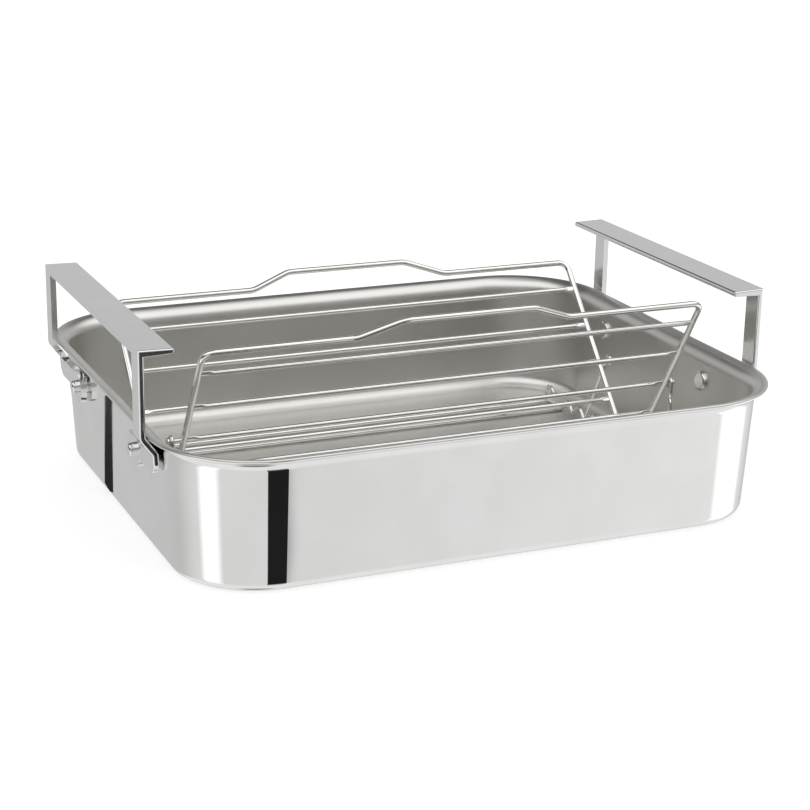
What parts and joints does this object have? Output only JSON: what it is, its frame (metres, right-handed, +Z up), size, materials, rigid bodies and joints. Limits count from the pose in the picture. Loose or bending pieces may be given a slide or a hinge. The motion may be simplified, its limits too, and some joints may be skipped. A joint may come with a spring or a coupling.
{
  "type": "roasting pan with folding rack",
  "caption": "Rectangular steel roasting pan with upright riveted handles and a folding V-shaped wire rack whose wings stand on notched wires.",
  "frame": {"origin": "on the surface the pan stands on, under the middle of its overall box", "axes": "+X along the long side towards the right handle, +Y away from the viewer's long wall, +Z up out of the pan"},
  "size_m": [0.4196, 0.3424, 0.1442],
  "materials": {
    "pan_steel": "mirror polished outside, satin inside",
    "handle_steel": "polished",
    "rivet_steel": "polished",
    "rack_wire": "electropolished"
  },
  "bodies": {
    "pan": {"pan_wall_right": "pan_steel", "pan_wall_rear": "pan_steel", "pan_wall_left": "pan_steel", "pan_wall_front": "pan_steel", "pan_corner_rear_right": "pan_steel", "pan_corner_rear_left": "pan_steel", "pan_corner_front_left": "pan_steel", "pan_corner_front_right": "pan_steel", "pan_floor": "pan_steel", "handle_left": "handle_steel", "handle_right": "handle_steel", "rivets_left": "rivet_steel", "rivets_right": "rivet_steel", "spacers_left": "rivet_steel", "spacers_right": "rivet_steel"},
    "rack_base": {"rack_rear_wire": "rack_wire", "rack_inner_wire": "rack_wire", "rack_front_wire": "rack_wire", "rack_hinge_wire": "rack_wire", "rack_end_wire_left": "rack_wire", "rack_end_wire_right": "rack_wire"},
    "front_wing": {"front_frame": "rack_wire", "front_rod_1": "rack_wire", "front_rod_2": "rack_wire", "front_rod_3": "rack_wire", "front_rod_4": "rack_wire"},
    "rear_wing": {"rear_frame": "rack_wire", "rear_rod_1": "rack_wire", "rear_rod_2": "rack_wire", "rear_rod_3": "rack_wire", "rear_rod_4": "rack_wire"},
    "front_prop_left": {"front_prop_left": "rack_wire"},
    "front_prop_right": {"front_prop_right": "rack_wire"},
    "rear_prop_left": {"rear_prop_left": "rack_wire"},
    "rear_prop_right": {"rear_prop_right": "rack_wire"}
  },
  "joints": [
    {"name": "rack_lift", "type": "slide", "parent": "pan", "child": "rack_base", "axis": [0, 0, 1], "range_m": [0, 0.25]},
    {"name": "front_wing_hinge", "type": "hinge", "parent": "rack_base", "child": "front_wing", "pos_m": [-0.0066, -0.0314, 0.00835], "axis": [-1, 0, 0], "range_deg": [0, 28]},
    {"name": "rear_wing_hinge", "type": "hinge", "parent": "rack_base", "child": "rear_wing", "pos_m": [-0.0066, -0.0314, 0.00835], "axis": [1, 0, 0], "range_deg": [0, 33]},
    {"name": "front_prop_left_pivot", "type": "hinge", "parent": "front_wing", "child": "front_prop_left", "pos_m": [-0.17955, -0.06731, 0.06739], "axis": [1, 0, 0], "range_deg": [0, 33]},
    {"name": "rear_prop_left_pivot", "type": "hinge", "parent": "rear_wing", "child": "rear_prop_left", "pos_m": [-0.17955, 0.01494, 0.0596], "axis": [1, 0, 0], "range_deg": [0, 105]},
    {"name": "front_prop_right_pivot", "type": "hinge", "parent": "front_wing", "child": "front_prop_right", "pos_m": [0.16635, -0.06731, 0.06739], "axis": [1, 0, 0], "range_deg": [0, 33]},
    {"name": "rear_prop_right_pivot", "type": "hinge", "parent": "rear_wing", "child": "rear_prop_right", "pos_m": [0.16635, 0.01494, 0.0596], "axis": [1, 0, 0], "range_deg": [0, 105]}
  ]
}
